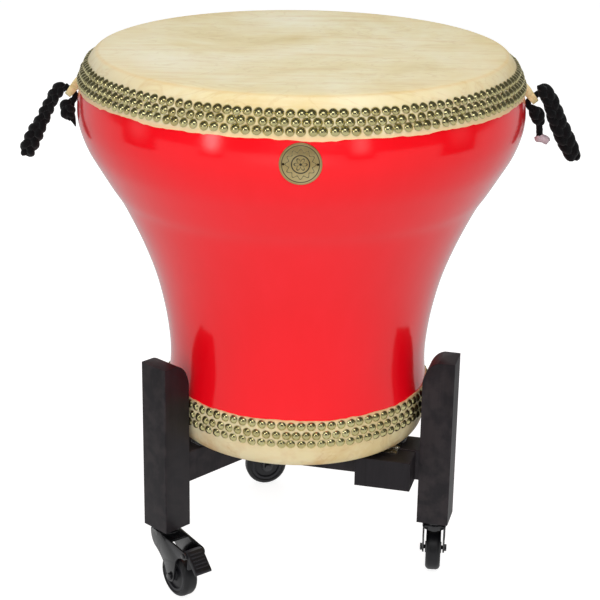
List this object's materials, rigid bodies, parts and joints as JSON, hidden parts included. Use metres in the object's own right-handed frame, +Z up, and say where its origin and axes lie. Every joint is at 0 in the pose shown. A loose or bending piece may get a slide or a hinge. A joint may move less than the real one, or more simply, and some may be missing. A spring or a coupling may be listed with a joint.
{
  "type": "floor drum on caster stand",
  "caption": "Goblet-shaped lacquered floor drum with tacked rawhide heads and plaited rope handles, seated in a wooden tripod stand on braked casters.",
  "frame": {"origin": "on the floor under the drum's vertical axis", "axes": "+Z up along the drum axis; the badge faces -Y; the rope handles are at -X and +X"},
  "size_m": [0.75, 0.5936, 0.733],
  "materials": {
    "red_lacquer": "high gloss red lacquer over wood",
    "rawhide": "natural streaky rawhide",
    "tack_brass": "polished",
    "badge_brass": "satin, darkened engraving",
    "tab_rawhide": "tan rawhide",
    "rope": "plaited cord",
    "tie_tape": "wrapped tape",
    "black_wood": "satin black stain",
    "beech": "bare",
    "felt": "felt",
    "steel": "nickel plated",
    "black_steel": "black coating",
    "bright_steel": "bright race ring",
    "wheel_plastic": "moulded",
    "tyre_rubber": "smooth tread",
    "brake_plastic": "moulded, ribbed"
  },
  "bodies": {
    "stand": {"arm_dowels": "beech", "arm_front_left": "black_wood", "arm_front_right": "black_wood", "arm_rear": "black_wood", "caster_front_left_race": "bright_steel", "caster_front_left_stem": "black_steel", "caster_front_right_race": "bright_steel", "caster_front_right_stem": "black_steel", "caster_rear_race": "bright_steel", "caster_rear_stem": "black_steel", "felt_pads": "felt", "hinge_leaf_arm": "steel", "hinge_pin": "steel", "hinge_screws_arm": "steel", "hub_screws": "steel", "post_front_left": "black_wood", "post_front_right": "black_wood", "post_rear": "black_wood"},
    "drum": {"shell": "red_lacquer", "top_head_skin": "rawhide", "bottom_head_skin": "rawhide", "top_tacks": "tack_brass", "bottom_tacks": "tack_brass", "badge_plate": "badge_brass", "badge_pins": "badge_brass", "left_rope_tab": "tab_rawhide", "right_rope_tab": "tab_rawhide"},
    "left_rope": {"left_rope": "rope"},
    "right_rope": {"right_rope": "rope", "right_rope_end_tie": "tie_tape"},
    "side_block": {"hinged_block": "black_wood", "hinge_leaf_block": "steel", "hinge_screws_block": "steel"},
    "caster_front_left_swivel": {"caster_front_left_fork": "black_steel", "caster_front_left_axle": "black_steel", "caster_front_left_brake_pin": "black_steel"},
    "caster_front_left_wheel": {"caster_front_left_hub": "wheel_plastic", "caster_front_left_tyre": "tyre_rubber"},
    "caster_front_left_pedal": {"caster_front_left_brake": "brake_plastic"},
    "caster_front_right_swivel": {"caster_front_right_fork": "black_steel", "caster_front_right_axle": "black_steel", "caster_front_right_brake_pin": "black_steel"},
    "caster_front_right_wheel": {"caster_front_right_hub": "wheel_plastic", "caster_front_right_tyre": "tyre_rubber"},
    "caster_front_right_pedal": {"caster_front_right_brake": "brake_plastic"},
    "caster_rear_swivel": {"caster_rear_fork": "black_steel", "caster_rear_axle": "black_steel", "caster_rear_brake_pin": "black_steel"},
    "caster_rear_wheel": {"caster_rear_hub": "wheel_plastic", "caster_rear_tyre": "tyre_rubber"},
    "caster_rear_pedal": {"caster_rear_brake": "brake_plastic"}
  },
  "joints": [
    {"name": "drum_lift", "type": "slide", "parent": "stand", "child": "drum", "axis": [0, 0, 1], "range_m": [0, 0.15]},
    {"name": "left_rope_swing", "type": "hinge", "parent": "drum", "child": "left_rope", "pos_m": [-0.306, 0, 0.6705], "axis": [-0.7691, 0, 0.6391], "range_deg": [-30, 30]},
    {"name": "right_rope_swing", "type": "hinge", "parent": "drum", "child": "right_rope", "pos_m": [0.306, 0, 0.6705], "axis": [0.7691, 0, 0.6391], "range_deg": [-30, 30]},
    {"name": "side_block_hinge", "type": "hinge", "parent": "stand", "child": "side_block", "pos_m": [0.1166, -0.09452, 0.2039], "axis": [-0.9703, 0.2419, 0], "range_deg": [0, 5]},
    {"name": "front_left_swivel", "type": "hinge", "parent": "stand", "child": "caster_front_left_swivel", "pos_m": [-0.17572, -0.12294, 0.084], "axis": [0, 0, 1], "continuous": true},
    {"name": "front_left_wheel_spin", "type": "hinge", "parent": "caster_front_left_swivel", "child": "caster_front_left_wheel", "pos_m": [-0.15725, -0.14658, 0.0315], "axis": [0.788, 0.6157, 0], "continuous": true},
    {"name": "front_left_brake_press", "type": "hinge", "parent": "caster_front_left_swivel", "child": "caster_front_left_pedal", "pos_m": [-0.13755, -0.1718, 0.076], "axis": [0.788, 0.6157, 0], "range_deg": [0, 8]},
    {"name": "front_right_swivel", "type": "hinge", "parent": "stand", "child": "caster_front_right_swivel", "pos_m": [0.19433, -0.09071, 0.084], "axis": [0, 0, 1], "continuous": true},
    {"name": "front_right_wheel_spin", "type": "hinge", "parent": "caster_front_right_swivel", "child": "caster_front_right_wheel", "pos_m": [0.19694, -0.06082, 0.0315], "axis": [-0.9962, 0.0872, 0], "continuous": true},
    {"name": "front_right_brake_press", "type": "hinge", "parent": "caster_front_right_swivel", "child": "caster_front_right_pedal", "pos_m": [0.19973, -0.02894, 0.076], "axis": [-0.9962, 0.0872, 0], "range_deg": [0, 8]},
    {"name": "rear_swivel", "type": "hinge", "parent": "stand", "child": "caster_rear_swivel", "pos_m": [-0.01861, 0.21365, 0.084], "axis": [0, 0, 1], "continuous": true},
    {"name": "rear_wheel_spin", "type": "hinge", "parent": "caster_rear_swivel", "child": "caster_rear_wheel", "pos_m": [-0.04759, 0.20588, 0.0315], "axis": [0.2588, -0.9659, 0], "continuous": true},
    {"name": "rear_brake_press", "type": "hinge", "parent": "caster_rear_swivel", "child": "caster_rear_pedal", "pos_m": [-0.0785, 0.1976, 0.076], "axis": [0.2588, -0.9659, 0], "range_deg": [0, 8]}
  ]
}
